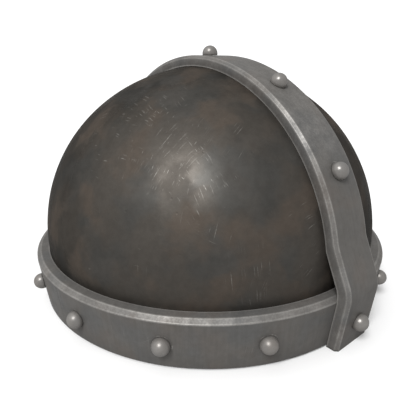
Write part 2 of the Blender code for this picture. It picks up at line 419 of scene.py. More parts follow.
@dataclass
class Effects:
    """The node groups that the finishes share, each built once.

    A scale is clouds or points to a metre. The pair of a range, a reach or gaps is where a mask
    starts and where it is full. The pair of a size or a light is its spread and its least.
    """

    stray_scale: float = 90.0
    cool_aside: tuple[float, float, float] = (0.37, 0.11, 0.23)
    rust_range: Pair = (0.46, 0.66)
    cool_range: Pair = (0.44, 0.66)
    mottle_range: Pair = (0.30, 0.70)
    cloud_stray: float = 0.012
    sway_scale: float = 45.0
    scratch_sway: float = 0.006
    scratch_size: Pair = (0.26, 0.14)
    scratch_core: float = 0.3
    scratch_light: Pair = (0.75, 0.25)
    gap_scale: float = 700.0
    scratch_gaps: Pair = (0.36, 0.56)
    gap_light: float = 0.25
    cluster_edge: float = 0.12
    area_core: float = 0.5
    streak_range: Pair = (0.32, 0.68)
    wear_scales: Pair = (900.0, 130.0)
    fine_share: float = 0.9
    wear_spread: float = 0.28
    wear_grain: float = 0.60
    hammer_scale: float = 70.0
    forge_scale: float = 420.0
    fine_scale: float = 1500.0
    height_shares: tuple[float, float, float] = (0.9, 0.35, 0.10)
    grain_shares: Pair = (0.85, 0.15)
    pit_scale: float = 260.0
    pit_range: Pair = (0.22, 0.05)
    pit_share: float = 0.16
    grain_range: Pair = (0.34, 0.66)
    halo_reach: Pair = (0.0024, 0.0001)
    ring_scale: float = 210.0
    ring_place: float = 0.0006
    ring_range: Pair = (0.0005, 0.0001)
    ring_gaps: Pair = (0.52, 0.62)

    def __post_init__(self) -> None:
        """Builds the groups."""
        self.patina = self.build_patina()
        self.scratches = self.build_scratches()
        self.brushing = self.build_brushing()
        self.edge_wear_and_sheen = self.build_edge_wear_and_sheen()
        self.relief = self.build_relief()
        self.halo = self.build_halo()

    def build_patina(self) -> Tree:
        """Brown rust clouds, cool dark clouds and a fine mottle, from three noises.

        Returns:
            The node group.
        """
        graph = EffectTree("patina", Position=None, Patch_Scale=42.0, Mottle_Scale=240.0)
        place, patch_scale, mottle_scale = graph.given
        stray = graph.math("MULTIPLY", graph.noise(place, self.stray_scale, 2.0), self.cloud_stray)
        moved = graph.vector("ADD", place, stray)
        aside = graph.vector("ADD", moved, self.cool_aside)
        return graph.give(
            Rust=graph.rise(graph.noise(moved, patch_scale, 3.0, 0.5), *self.rust_range),
            Cool=graph.rise(graph.noise(aside, patch_scale, 2.0, 0.45), *self.cool_range),
            Mottle=graph.rise(graph.noise(place, mottle_scale, 6.0, 0.7), *self.mottle_range),
        )

    def build_scratches(self) -> Tree:
        """Short straight scratches, in loose clusters within a round area.

        The surface's flat coordinates are turned, squeezed to long narrow cells, and each cell
        that its own random number picks gets a thin ellipse round its point. The scratches fade
        out towards the area's reach from its centre.

        Returns:
            The node group.
        """
        sizes = {"Turn": 0.0, "Cell_Length": 0.014, "Cell_Width": 0.0009}
        spread = {"Share": 0.10, "Cluster_Low": 0.45, "Cluster_Scale": 30.0, "Centre": None}
        graph = EffectTree("scratches", Surface=None, **sizes, **spread, Reach=10.0)
        flat, turn, length, width, share, low, cluster_scale, centre, reach = graph.given
        sway = graph.math("MULTIPLY", graph.noise(flat, self.sway_scale, 1.0), self.scratch_sway)
        given = {"Vector": graph.vector("ADD", flat, sway), "Angle": turn}
        along = graph.node("ShaderNodeVectorRotate", given, rotation_type="Z_AXIS").outputs[0]
        narrow = graph.squeezed(along, length, width)
        distance, picked, size, bright = graph.cells(narrow, 1.0, "2D")
        size = graph.math("MULTIPLY_ADD", size, *self.scratch_size)
        line = graph.rise(distance, size, graph.math("MULTIPLY", size, self.scratch_core))
        picked = graph.math("LESS_THAN", picked, share)
        bright = graph.math("MULTIPLY_ADD", bright, *self.scratch_light)
        gaps = graph.noise(flat, self.gap_scale, 2.0, 0.6)
        gaps = graph.rise(gaps, *self.scratch_gaps, self.gap_light, 1.0)
        cloud = graph.noise(flat, cluster_scale, 2.0)
        cluster = graph.rise(cloud, low, graph.math("ADD", low, self.cluster_edge))
        from_centre = graph.vector("DISTANCE", flat, centre, result="Value")
        mask = graph.rise(from_centre, reach, graph.math("MULTIPLY", reach, self.area_core))
        for factor in (line, picked, bright, gaps, cluster):
            mask = graph.math("MULTIPLY", mask, factor)
        return graph.give(Mask=mask)

    def build_brushing(self) -> Tree:
        """Faint streaks along the surface's second coordinate, from one stretched noise.

        Returns:
            The node group.
        """
        graph = EffectTree("brushing", Surface=None, Streak_Width=0.0016, Streak_Length=0.022)
        streak = graph.noise(graph.squeezed(*graph.given), 1.0, 3.0, 0.6)
        return graph.give(Streak=graph.rise(streak, *self.streak_range))

    def build_edge_wear_and_sheen(self) -> Tree:
        """Worn metal and painted highlight lines: a broken band where their value is high.

        Fine and coarse noises less their mean are added to that value, in step with its square
        root, and what passes a threshold shines.

        Returns:
            The node group.
        """
        graph = EffectTree("edge_wear_and_sheen", Position=None, Wear=0.0, Threshold=0.55)
        place, wear_and_sheen, threshold = graph.given
        fine_scale, coarse_scale = self.wear_scales
        fine = graph.noise(place, fine_scale, 3.0, 0.7)
        coarse = graph.noise(place, coarse_scale, 3.0, 0.6)
        both = graph.math("MULTIPLY_ADD", fine, self.fine_share, coarse)
        mean = 0.5 * (1 + self.fine_share)
        grain = graph.math("MULTIPLY_ADD", both, self.wear_grain, -mean * self.wear_grain)
        worn = graph.math("MULTIPLY_ADD", graph.math("SQRT", wear_and_sheen), grain, wear_and_sheen)
        low = graph.math("SUBTRACT", threshold, self.wear_spread)
        high = graph.math("ADD", threshold, self.wear_spread)
        return graph.give(Mask=graph.rise(worn, low, high))

    def build_relief(self) -> Tree:
        """Forged texture: broad hammering, scale and small pits as a height, and a grain.

        Returns:
            The node group.
        """
        graph = EffectTree("relief", Position=None, Pits=0.5)
        place, pits = graph.given
        broad = graph.noise(place, self.hammer_scale, 2.0, 0.45)
        scale = graph.noise(place, self.forge_scale, 4.0, 0.6)
        fine = graph.noise(place, self.fine_scale, 3.0, 0.6)
        distance, chosen, *_ = graph.cells(place, self.pit_scale, "3D")
        chosen = graph.math("LESS_THAN", chosen, self.pit_share)
        pit = graph.math("MULTIPLY", graph.rise(distance, *self.pit_range), chosen)
        height: Source = 0.0
        for layer, share in zip((broad, scale, fine), self.height_shares):
            height = graph.math("MULTIPLY_ADD", layer, share, height)
        height = graph.math("SUBTRACT", height, graph.math("MULTIPLY", pit, pits))
        broad_share, scale_share = self.grain_shares
        grain = graph.math("MULTIPLY", scale, scale_share)
        grain = graph.math("MULTIPLY_ADD", broad, broad_share, grain)
        return graph.give(Height=height, Grain=graph.rise(grain, *self.grain_range))

    def build_halo(self) -> Tree:
        """The ring round a rivet: painted shade against its head and a broken bright rub beyond.

        Both come from the distance to the nearest rivet's axis, in flat coordinates.

        Returns:
            The node group.
        """
        graph = EffectTree("rivet_halo", Near_Rivet=None, Position=None, Head_Radius=0.0049)
        near, place, head_radius = graph.given
        past = graph.math("SUBTRACT", graph.vector("LENGTH", near, result="Value"), head_radius)
        ring = graph.math("ABSOLUTE", graph.math("SUBTRACT", past, self.ring_place))
        broken = graph.rise(graph.noise(place, self.ring_scale, 2.0), *self.ring_gaps)
        bright = graph.math("MULTIPLY", graph.rise(ring, *self.ring_range), broken)
        return graph.give(Dark=graph.rise(past, *self.halo_reach), Bright=bright)


# Finishes


@dataclass(frozen=True)
class ScratchLayer:
    """One direction of scratches on a finish.

    Attributes:
        turn: the direction in degrees in the surface's flat coordinates.
        length: length of a cell; a scratch takes up to four fifths of it.
        width: width of a cell.
        share: how many cells hold a scratch, 0 to 1.
        cluster_low: where clusters start in a cloud from 0 to 1; higher is sparser.
        centre: the middle of the area that holds them, in flat coordinates.
        reach: the area's radius.
    """

    turn: float
    length: float
    width: float
    share: float
    cluster_low: float
    centre: tuple[float, float, float] = (0.0, 0.0, 0.0)
    reach: float = 10.0


@dataclass(frozen=True)
class IronFinish:
    """Forged iron with its rust, mottle, scratches and worn edges, with painted shade and painted
    highlights.

    Attributes:
        slot: the record's material slot, and the material's name.
        base: the plain iron's colour.
        rust: the colour of its brown patches.
        cool: the colour of its bluish patches.
        dirt_and_shade: the colour of the darker mottle and streaks, and of painted shade.
        bright: the colour of worn metal, scratches and painted highlights.
        rust_share: how much the brown patches show.
        cool_share: how much the bluish patches show.
        roughness: at its smoothest and its roughest.
        rubbed_roughness: the same on worn metal, scratches and painted highlights.
        relief_depth: the depth of the forged texture.
        scratch_share: how brightly the scratches show.
        scratches: the directions of scratches.
        mottled: how much the fine mottle darkens it.
        brushed: how much the streaks darken it.
        metallic: how metallic it is where it is neither rusty nor rubbed.
        gloss: how strongly the bare oxide reflects, 0.5 for a plain coat.
        edge_gloss: how much of its reflection a face keeps when it is seen edge on.
        halo_shade: how dark the painted shade round the rivets' heads is, where rivets sit on it.
        halo_rub: how bright the rub round them is.
        rubbed_metallic: how metallic worn metal, scratches and painted highlights are.
        rusty_metallic: the same on rust, as a share of the plain iron's.
        rust_dulls: the roughness that rust adds.
        scratch_depth: how deep a scratch is, as a share of the relief.
    """

    slot: str
    base: Colour
    rust: Colour
    cool: Colour
    dirt_and_shade: Colour
    bright: Colour
    rust_share: float
    cool_share: float
    roughness: Pair
    rubbed_roughness: float
    relief_depth: float
    scratch_share: float
    scratches: tuple[ScratchLayer, ...]
    mottled: float
    brushed: float
    metallic: float
    gloss: float
    edge_gloss: float
    halo_shade: float = 0.0
    halo_rub: float = 0.0
    rubbed_metallic: float = 0.6
    rusty_metallic: float = 0.5
    rust_dulls: float = 0.12
    scratch_depth: float = 0.25

    def scratch_mask(self, graph: Graph, effects: Effects, surface: Source) -> Source:
        """Adds up the finish's layers of scratches.

        Args:
            graph: the material's graph.
            effects: the shared effects.
            surface: the flat coordinates.

        Returns:
            The mask of all layers.
        """
        mask: Source = 0.0
        for layer in self.scratches:
            cell = {"Cell_Length": layer.length, "Cell_Width": layer.width, "Share": layer.share}
            area = {"Cluster_Low": layer.cluster_low, "Centre": layer.centre, "Reach": layer.reach}
            turn = math.radians(-layer.turn)
            node = graph.group(effects.scratches, Surface=surface, Turn=turn, **cell, **area)
            mask = graph.math("MAXIMUM", mask, node.outputs["Mask"])
        return graph.math("MULTIPLY", mask, self.scratch_share)

    def material(self, effects: Effects) -> Material:
        """Builds the material.

        Args:
            effects: the shared effects.

        Returns:
            The material.
        """
        material = bpy.data.materials.new(self.slot)
        material.use_nodes = True
        graph = Graph(material.node_tree)
        shader = material.node_tree.nodes["Principled BSDF"]
        shader.inputs["Specular IOR Level"].default_value = self.gloss
        shader.inputs["Specular Tint"].default_value = (*(self.edge_gloss,) * 3, 1.0)
        place = graph.node("ShaderNodeTexCoord", {}).outputs["Object"]
        # The mesh's own values: worn metal with painted highlight lines, and painted shade.
        wear_and_sheen, painted_shade = (
            graph.node("ShaderNodeAttribute", {}, attribute_name=name).outputs["Fac"]
            for name in (WEAR_AND_SHEEN, PAINTED_SHADE)
        )
        surface = graph.node("ShaderNodeUVMap", {}, uv_map=SURFACE).outputs[0]
        patina = graph.group(effects.patina, Position=place).outputs
        relief = graph.group(effects.relief, Position=place).outputs
        rubbed_and_sheen = graph.group(effects.edge_wear_and_sheen, Position=place, Wear=wear_and_sheen).outputs["Mask"]
        scratched = self.scratch_mask(graph, effects, surface)
        shine = graph.math("MAXIMUM", rubbed_and_sheen, scratched)
        rust = graph.math("MULTIPLY", patina["Rust"], self.rust_share)
        cool = graph.math("MULTIPLY", patina["Cool"], self.cool_share)
        colour = graph.mix(cool, graph.mix(rust, self.base, self.rust), self.cool)
        # Darkening: the fine mottle, the streaks, and painted shade from the mesh's values and
        # round the rivets' heads.
        darkenings = [graph.rise(patina["Mottle"], 0.0, 1.0, self.mottled, 0.0), painted_shade]
        if self.brushed:
            streak = graph.group(effects.brushing, Surface=surface).outputs["Streak"]
            darkenings.insert(1, graph.math("MULTIPLY", streak, self.brushed))
        # Round the rivets' heads: painted shade at the head, and a broken bright rub beyond.
        if self.halo_shade:
            near = graph.node("ShaderNodeUVMap", {}, uv_map=NEAR_RIVET).outputs[0]
            halo = graph.group(effects.halo, Near_Rivet=near, Position=place).outputs
            darkenings.append(graph.math("MULTIPLY", halo["Dark"], self.halo_shade))
            ring = graph.math("MULTIPLY", halo["Bright"], self.halo_rub)
            shine = graph.math("MAXIMUM", shine, ring)
        for darkening in darkenings:
            colour = graph.mix(darkening, colour, self.dirt_and_shade)
        # Bright metal: worn edges, scratches, the rub round rivets, and the painted highlights that
        # the mesh's values carry.
        graph.feed(shader.inputs["Base Color"], graph.mix(shine, colour, self.bright))

        rough = graph.rise(relief["Grain"], 0.0, 1.0, *self.roughness)
        rough = graph.math("MULTIPLY_ADD", rust, self.rust_dulls, rough)
        drop = graph.math("SUBTRACT", self.rubbed_roughness, rough)
        rough = graph.math("MULTIPLY_ADD", drop, shine, rough, clamp=True)
        graph.feed(shader.inputs["Roughness"], rough)
        loss = (self.rusty_metallic - 1) * self.metallic
        metal = graph.math("MULTIPLY_ADD", rust, loss, self.metallic)
        gain = self.rubbed_metallic - self.metallic
        metal = graph.math("MULTIPLY_ADD", shine, gain, metal, clamp=True)
        graph.feed(shader.inputs["Metallic"], metal)

        height = graph.math("MULTIPLY_ADD", scratched, -self.scratch_depth, relief["Height"])
        bump = graph.node("ShaderNodeBump", {"Distance": self.relief_depth, "Height": height})
        graph.feed(shader.inputs["Normal"], bump.outputs["Normal"])
        return material


DARK_IRON = IronFinish(
    slot="dark_iron",
    base=(0.086, 0.078, 0.069),
    rust=(0.097, 0.077, 0.062),
    cool=(0.074, 0.073, 0.069),
    dirt_and_shade=(0.022, 0.019, 0.016),
    bright=(0.30, 0.29, 0.27),
    rust_share=0.60,
    cool_share=0.75,
    roughness=(0.40, 0.55),
    rubbed_roughness=0.34,
    relief_depth=0.00009,
    scratch_share=0.56,
    scratches=(
        ScratchLayer(8.0, 0.020, 0.0009, 0.20, 0.38, (-0.0775, -0.0530, 0.0), 0.026),
        ScratchLayer(1.0, 0.013, 0.0008, 0.16, 0.38, (-0.0760, -0.0560, 0.0), 0.028),
        ScratchLayer(21.0, 0.005, 0.0010, 0.10, 0.36, (-0.0780, -0.0500, 0.0), 0.034),
        ScratchLayer(-99.0, 0.010, 0.0010, 0.30, 0.35, (-0.0620, -0.0240, 0.0), 0.024),
        ScratchLayer(-78.0, 0.007, 0.0010, 0.12, 0.38, (-0.0900, -0.0250, 0.0), 0.034),
        ScratchLayer(-101.0, 0.014, 0.0010, 0.16, 0.38, (-0.0740, -0.0780, 0.0), 0.022),
        ScratchLayer(-90.0, 0.006, 0.0011, 0.12, 0.36, (-0.0740, -0.0820, 0.0), 0.026),
        ScratchLayer(15.0, 0.014, 0.0009, 0.26, 0.38, (-0.0500, -0.0755, 0.0), 0.016),
        ScratchLayer(-112.0, 0.015, 0.0010, 0.22, 0.40, (-0.0788, -0.1370, 0.0), 0.020),
        ScratchLayer(4.0, 0.012, 0.0009, 0.24, 0.36, (-0.0335, -0.1320, 0.0), 0.013),
        ScratchLayer(16.0, 0.016, 0.0009, 0.24, 0.36, (-0.0375, -0.1500, 0.0), 0.013),
        ScratchLayer(34.0, 0.014, 0.0009, 0.07, 0.56),
        ScratchLayer(-63.0, 0.011, 0.0010, 0.06, 0.56),
    ),
    mottled=0.14,
    brushed=0.0,
    metallic=0.70,
    gloss=0.03,
    edge_gloss=0.10,
)
BAND_IRON = IronFinish(
    slot="band_iron",
    base=(0.150, 0.144, 0.136),
    rust=(0.146, 0.126, 0.112),
    cool=(0.126, 0.129, 0.130),
    dirt_and_shade=(0.060, 0.055, 0.050),
    bright=(0.33, 0.318, 0.302),
    rust_share=0.45,
    cool_share=0.55,
    roughness=(0.38, 0.50),
    rubbed_roughness=0.42,
    relief_depth=0.00016,
    scratch_share=0.30,
    scratches=(
        ScratchLayer(86.0, 0.012, 0.0010, 0.10, 0.47),
        ScratchLayer(30.0, 0.016, 0.0009, 0.06, 0.50),
    ),
    mottled=0.16,
    brushed=0.14,
    metallic=0.30,
    gloss=0.20,
    edge_gloss=0.20,
    halo_shade=0.15,
    halo_rub=0.6,
)
RIVET_IRON = IronFinish(
    slot="rivet_iron",
    base=(0.250, 0.238, 0.225),
    rust=(0.200, 0.165, 0.140),
    cool=(0.215, 0.215, 0.215),
    dirt_and_shade=(0.090, 0.083, 0.075),
    bright=(0.42, 0.41, 0.39),
    rust_share=0.35,
    cool_share=0.30,
    roughness=(0.31, 0.40),
    rubbed_roughness=0.29,
    relief_depth=0.00006,
    scratch_share=0.12,
    scratches=(ScratchLayer(40.0, 0.005, 0.0006, 0.12, 0.42),),
    mottled=0.16,
    brushed=0.0,
    metallic=0.45,
    gloss=0.45,
    edge_gloss=0.50,
)


# Sub-assemblies


@dataclass
class Dome:
    """The raised iron bowl: half an ellipsoid on a short tapered skirt, hollow and open below.

    Each pair for painted shade is its strength and how far it reaches.
    """

    radius: float = 0.1120
    rise: float = 0.1073
    widest_height: float = 0.0350
    rim_radius: float = 0.1106
    rim_recess: float = 0.0008
    rim_round: float = 0.00035
    rim_steps: int = 8
    wall: float = 0.0020
    columns: int = 336
    arch_rows: int = 104
    skirt_rows: int = 18
    inner_rows: int = 56
    hammer_marks: int = 120
    hammer_depth: float = 0.00030
    hammer_width: float = 0.075
    mark_depths: Pair = (0.15, 1.0)
    mark_widths: Pair = (0.6, 1.6)
    hammer_centre: float = 0.0210
    arch_blend: float = 0.03
    hammer_clear: float = 0.008
    crest_shade: Pair = (0.30, 0.0028)
    brow_shade: Pair = (0.34, 0.0040)
    low_shade: Pair = (0.05, 0.045)
    most_shade: float = 0.85
    inner_shade: float = 0.35
    seed: int = 11

    def radius_at(self, height: Union[Array, float]) -> Array:
        """The outer radius at each height, or zero above the top.

        Below the widest height it is the skirt's cone, and above it the ellipse, where the
        radius is the widest times sqrt(1 - t^2) at share t of the rise.

        Args:
            height: heights above the brow band's lower edge.

        Returns:
            The radii.
        """
        slope = (self.radius - self.rim_radius) / (self.widest_height - self.rim_recess)
        skirt = self.rim_radius + slope * (height - self.rim_recess)
        share = np.clip((height - self.widest_height) / self.rise, 0.0, 1.0)
        return np.where(height < self.widest_height, skirt, self.radius * np.sqrt(1 - share**2))

    def arch_point(self, angle: Array, offset: float) -> Array:
        """Points of the ellipse at angles from the top, moved out along its normal.

        At angle t the place is (radius sin t, widest height + rise cos t), and the normal is
        along (sin t / radius, cos t / rise).

        Args:
            angle: angles from the top, in radians.
            offset: how far out from the face.

        Returns:
            (radius, height) points, shaped (count, 2).
        """
        along = np.stack([np.sin(angle), np.cos(angle)], axis=-1)
        face = along * (self.radius, self.rise) + (0.0, self.widest_height)
        return face + unit(along / (self.radius, self.rise)) * offset

    def meridian(self, arch_rows: int, skirt_rows: int, offset: float) -> Array:
        """The line from the top down to where the rim's rounding starts.

        Args:
            arch_rows: points on the ellipse.
            skirt_rows: points on the skirt.
            offset: how far out from the face.

        Returns:
            (radius, height) points from the top down.
        """
        arch = self.arch_point(np.linspace(0.0, math.pi / 2, arch_rows), offset)
        share = np.linspace(0.0, 1.0, skirt_rows + 1)[1:, None]
        end_height = self.rim_recess + self.rim_round
        end = np.array([float(self.radius_at(end_height)) + offset, end_height])
        return np.concatenate([arch, arch[-1] * (1 - share) + end * share])

    def hammering(self, grid: Array, outside: Array) -> Array:
        """How deep each point is driven in: a sum of round marks.

        A mark with depth d and width w lowers a point at angle a from it by d exp(-a^2 / w^2),
        and a^2 is taken as 2 (1 - the cosine between them). Outside, the marks fade out towards
        the bands, which lie close on the dome.

        Args:
            grid: points shaped (rows, columns, 3).
            outside: for each row, whether it is on the outer face.

        Returns:
            Depths shaped (rows, columns), from 0 down.
        """
        random = np.random.default_rng(self.seed)
        marks = random.normal(size=(self.hammer_marks, 3))
        marks[:, 2] = np.abs(marks[:, 2])
        depths = self.hammer_depth * random.uniform(*self.mark_depths, self.hammer_marks) ** 2
        widths = self.hammer_width * random.uniform(*self.mark_widths, self.hammer_marks)
        ways = unit(grid - (0.0, 0.0, self.hammer_centre))
        squares = 2 * (1 - ways @ unit(marks).T)
        depth = -(depths * np.exp(-squares / widths**2)).sum(axis=-1)
        half = CREST_WIDTH / 2
        clear = smooth_share(np.abs(grid[..., 0]), half, half + self.hammer_clear)
        clear = clear * smooth_share(grid[..., 2], BROW_HEIGHT, BROW_HEIGHT + self.hammer_clear)
        return np.where(outside[:, None], depth * clear, depth)

    def painted_shade(self, grid: Array, outside: Array) -> Array:
        """Painted shade: darker along the bands' edges, fading over a few millimetres, a little
        darker low down above the brow band, and dark all over the inside.

        Args:
            grid: points shaped (rows, columns, 3).
            outside: for each row, whether it is on the outer face.

        Returns:
            Values from 0 to 1, shaped (rows, columns).
        """
        from_crest = np.maximum(np.abs(grid[..., 0]) - CREST_WIDTH / 2, 0.0)
        from_brow = np.maximum(grid[..., 2] - BROW_HEIGHT, 0.0)
        dirt_and_shade = self.low_shade[0] * (1 - smooth_share(from_brow, 0.0, self.low_shade[1]))
        for away, (strength, reach) in ((from_crest, self.crest_shade), (from_brow, self.brow_shade)):
            dirt_and_shade = dirt_and_shade + strength * np.exp(-away / reach)
        return np.where(outside[:, None], np.clip(dirt_and_shade, 0.0, self.most_shade), self.inner_shade)

    def flat_map(self, outline: Array, outside: Array) -> Array:
        """Flat coordinates that keep distances from the top true in every direction.

        A point at distance s from the top and azimuth a gets (s sin a, -s cos a), and the inner
        face is laid a metre aside.

        Args:
            outline: (radius, height) points, outer face then inner.
            outside: for each row, whether it is on the outer face.

        Returns:
            Corner coordinates for each face.
        """
        walked = outline_distance(outline)
        distance = np.where(outside, walked, walked[-1] - walked)
        azimuth = ring_angles(self.columns, closed=True)
        flat = distance[:, None, None] * np.stack([np.sin(azimuth), -np.cos(azimuth)], axis=-1)
        corners = face_corners(flat)
        corners[~outside[1:]] += 1.0
        return corners

    def build(self) -> Mesh:
        """The shell: outer face, rounded rim and inner face, all hammered.

        The rim is half a turn: at angle a the place is the wall's middle, plus half the wall
        times cos a, less the rim's rounding times sin a. The skirt is hammered level and the
        arch towards its centre, with a smooth change between them.

        Returns:
            The mesh.
        """
        outer = self.meridian(self.arch_rows, self.skirt_rows, 0.0)
        inner = self.meridian(self.inner_rows, self.skirt_rows // 2, -self.wall)[::-1]
        angle = np.linspace(0.0, math.pi, self.rim_steps)[1:-1, None]
        middle, half = (outer[-1] + inner[0]) / 2, (outer[-1] - inner[0]) / 2
        rim = middle + half * np.cos(angle) - np.array([0.0, self.rim_round]) * np.sin(angle)
        outline = np.concatenate([outer, rim, inner])
        outside = np.arange(len(outline)) < len(outer) + len(rim) // 2
        grid = turned(outline, self.columns)
        level = unit(grid * (1.0, 1.0, 0.0) + (0.0, 0.0, TINY))
        arch = smooth_share(grid[..., 2:], self.widest_height, self.widest_height + self.arch_blend)
        ways = level * (1 - arch) + unit(grid - (0.0, 0.0, self.widest_height)) * arch
        depth = self.hammering(grid, outside)
        values = {PAINTED_SHADE: self.painted_shade(grid, outside), WEAR_AND_SHEEN: np.zeros(1)}
        maps = {SURFACE: self.flat_map(outline, outside)}
        grid = grid + unit(ways) * depth[..., None] + (0.0, 0.0, LIFT)
        return closed_mesh("hammered_dome", grid, Ends.POLES, values, maps)

    def dress(self, material: Material) -> None:
        """Builds the dome and places it with its finish."""
        place_piece(self.build(), material, "dome")


@dataclass
class BrowBand:
    """The heavy ring round the rim: a flared section with a chamfered upper edge."""

    dome: Dome
    height: float = BROW_HEIGHT
    rim_thickness: float = 0.0061
    top_thickness: float = 0.0078
    chamfer_width: float = 0.0025
    chamfer_height: float = 0.0023
    edge_soft: float = 0.00035
    rivet_places: int = 14
    rivet_height: float = 0.0140
    columns: int = 420
    outer_margins: Pair = (0.002, 0.001)
    sway: float = 0.00010
    waves: tuple[Pair, ...] = ((5, 0.7), (11, 2.1), (23, 0.0))
    low_shade: Pair = (0.16, 0.012)
    inner_shade: float = 0.5
    inner_top: float = field(init=False)
    inner_rim: float = field(init=False)
    outer_top: float = field(init=False)
    outer_rim: float = field(init=False)
    chamfer_foot: float = field(init=False)

    def __post_init__(self) -> None:
        """Works out the radii at the top and the rim, and the height under the chamfer."""
        self.inner_top = float(self.dome.radius_at(self.height)) + FIT_GAP
        self.inner_rim = float(self.dome.radius_at(0.0)) + FIT_GAP
        self.outer_top = self.inner_top + self.top_thickness
        self.outer_rim = self.inner_rim + self.rim_thickness
        self.chamfer_foot = self.height - self.chamfer_height

    def corners(self) -> list[Corner]:
        """The section's corners, from the inner top outwards and down."""
        soft, closer = self.edge_soft, FIT_GAP - TOUCH_GAP
        return [
            # The inner top corner paints a highlight line beside the dome, and the top face's run
            # paints light onto that ledge in the dome's shade; the other corners are worn edges.
            Corner(self.inner_top - closer, self.height, soft, 0.90, 0.36),
            Corner(self.outer_top - self.chamfer_width, self.height, soft, 0.58, 0.45),
            Corner(self.outer_top, self.chamfer_foot, soft, 0.60, 0.02),
            Corner(self.outer_rim, 0.0, soft, 0.36, 0.0),
            Corner(self.inner_rim - closer, 0.0, soft, 0.30, 0.0),
        ]

    def face_point(self, height: float, offset: float) -> tuple[Array, Array]:
        """A point of the outer face, and its normal.

        Args:
            height: how high on the face.
            offset: how far out from it.

        Returns:
            The (radius, height) point and the normal.
        """
        slope = np.array([self.outer_top - self.outer_rim, self.chamfer_foot])
        normal = unit(np.array([slope[1], -slope[0]]))
        face = np.array([self.outer_rim, 0.0]) + slope * (height / self.chamfer_foot)
        return face + normal * offset, normal

    def build(self) -> Mesh:
        """The ring, with an outer face that sways in by a tenth of a millimetre.

        The sway is a sum of sine waves round the ring, from 0 down, and only acts outside. The
        flat coordinates run round the ring and down the section from the rivets' height.

        Returns:
            The mesh.
        """
        outline, wear_and_sheen = rounded_outline(self.corners())
        grid = turned(outline, self.columns)
        clear_in, clear_out = self.outer_margins
        outer = smooth_share(outline[:, 0], self.inner_top + clear_in, self.outer_rim - clear_out)
        sway = -self.sway * outer[:, None] * swaying(ring_angles(self.columns), self.waves)
        grid = grid + unit(grid * (1, 1, 0)) * sway[..., None] + (0.0, 0.0, LIFT)

        walked = outline_distance(outline)
        on_face = np.abs(outline - self.face_point(self.rivet_height, 0.0)[0]).sum(axis=1)
        down = walked - walked[on_face.argmin()]
        around = self.outer_rim * ring_angles(self.columns, closed=True)
        rows = np.append(down, down[-1] + float(np.linalg.norm(outline[0] - outline[-1])))
        surface = face_corners(np.stack(np.broadcast_arrays(around, -rows[:, None]), axis=-1))
        near = surface.copy()
        pitch = around[-1] / self.rivet_places
        middle = (around[:-1] + around[1:]) / 2
        near[..., 0] -= (np.round(middle / pitch) * pitch)[None, :, None]

        # Painted shade: darker towards the outer face's lower edge, and dark on the faces turned to
        # the dome and the floor.
        strength, reach = self.low_shade
        low = strength * (1 - smooth_share(outline[:, 1], 0.0, reach)) * outer
        inside = self.inner_shade * (1 - outer) * (outline[:, 1] < self.height - clear_out)
        values = {WEAR_AND_SHEEN: wear_and_sheen[:, None], PAINTED_SHADE: (low + inside)[:, None]}
        maps = {SURFACE: surface, NEAR_RIVET: near}
        return closed_mesh("forged_brow_band", grid, Ends.JOINED, values, maps)

    def dress(self, material: Material) -> None:
        """Builds the brow band and places it with its finish."""
        place_piece(self.build(), material, "brow_band")


